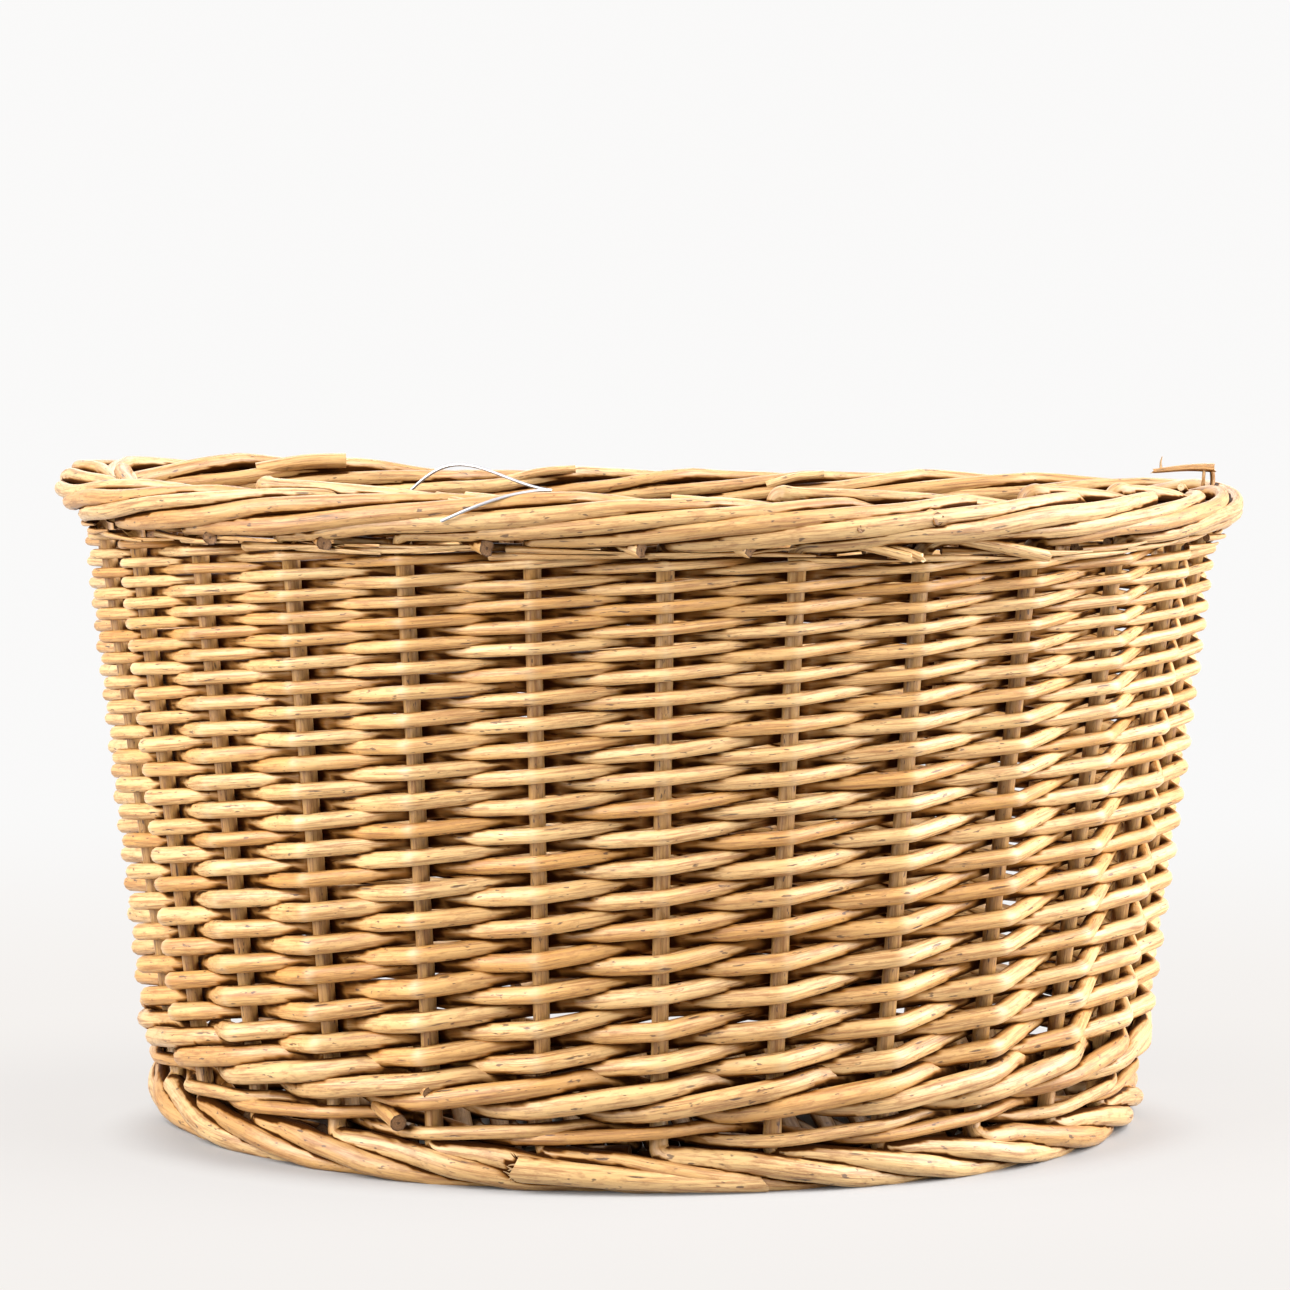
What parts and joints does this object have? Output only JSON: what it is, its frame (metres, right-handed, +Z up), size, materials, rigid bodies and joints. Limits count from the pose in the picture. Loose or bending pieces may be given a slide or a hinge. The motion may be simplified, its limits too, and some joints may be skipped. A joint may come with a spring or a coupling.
{
  "type": "wicker bicycle basket",
  "caption": "D-shaped woven willow basket with a rounded front, flat back, flared wall, rolled border and rolled foot, for carrying things on a bicycle.",
  "frame": {"origin": "middle of the box's underside, on the floor the foot stands on", "axes": "+X across the width, -Y towards the rounded front, +Y towards the flat back that faces the handlebar, +Z up"},
  "size_m": [0.4301, 0.2763, 0.2385],
  "materials": {
    "stake_willow": "varnished peeled willow",
    "weaver_willow": "varnished peeled willow",
    "wale_willow": "varnished peeled willow",
    "base_willow": "varnished peeled willow",
    "tie_wire": "bare drawn wire"
  },
  "bodies": {
    "root": {"base_stick_01": "base_willow", "base_stick_02": "base_willow", "base_stick_03": "base_willow", "base_weaver": "base_willow", "fine_wale_01": "wale_willow", "fine_wale_02": "wale_willow", "stake_01": "stake_willow", "stake_02": "stake_willow", "stake_03": "stake_willow", "stake_04": "stake_willow", "stake_05": "stake_willow", "stake_06": "stake_willow", "stake_07": "stake_willow", "stake_08": "stake_willow", "stake_09": "stake_willow", "stake_10": "stake_willow", "stake_11": "stake_willow", "stake_12": "stake_willow", "stake_13": "stake_willow", "stake_14": "stake_willow", "stake_15": "stake_willow", "stake_16": "stake_willow", "stake_17": "stake_willow", "stake_18": "stake_willow", "stake_19": "stake_willow", "stake_20": "stake_willow", "stake_21": "stake_willow", "stake_22": "stake_willow", "stake_23": "stake_willow", "stake_24": "stake_willow", "stake_25": "stake_willow", "tie_wire": "tie_wire", "upset_wale_01": "wale_willow", "upset_wale_02": "wale_willow", "upset_wale_03": "wale_willow", "weaver_01": "weaver_willow", "weaver_02": "weaver_willow", "weaver_03": "weaver_willow", "weaver_04": "weaver_willow", "weaver_05": "weaver_willow", "weaver_06": "weaver_willow", "weaver_07": "weaver_willow", "weaver_08": "weaver_willow", "weaver_09": "weaver_willow", "weaver_10": "weaver_willow", "weaver_11": "weaver_willow", "weaver_12": "weaver_willow", "weaver_13": "weaver_willow", "weaver_14": "weaver_willow", "weaver_15": "weaver_willow", "weaver_16": "weaver_willow", "weaver_17": "weaver_willow", "weaver_18": "weaver_willow", "weaver_19": "weaver_willow", "weaver_20": "weaver_willow", "weaver_21": "weaver_willow", "weaver_22": "weaver_willow", "weaver_23": "weaver_willow", "weaver_24": "weaver_willow", "weaver_25": "weaver_willow"}
  },
  "joints": []
}
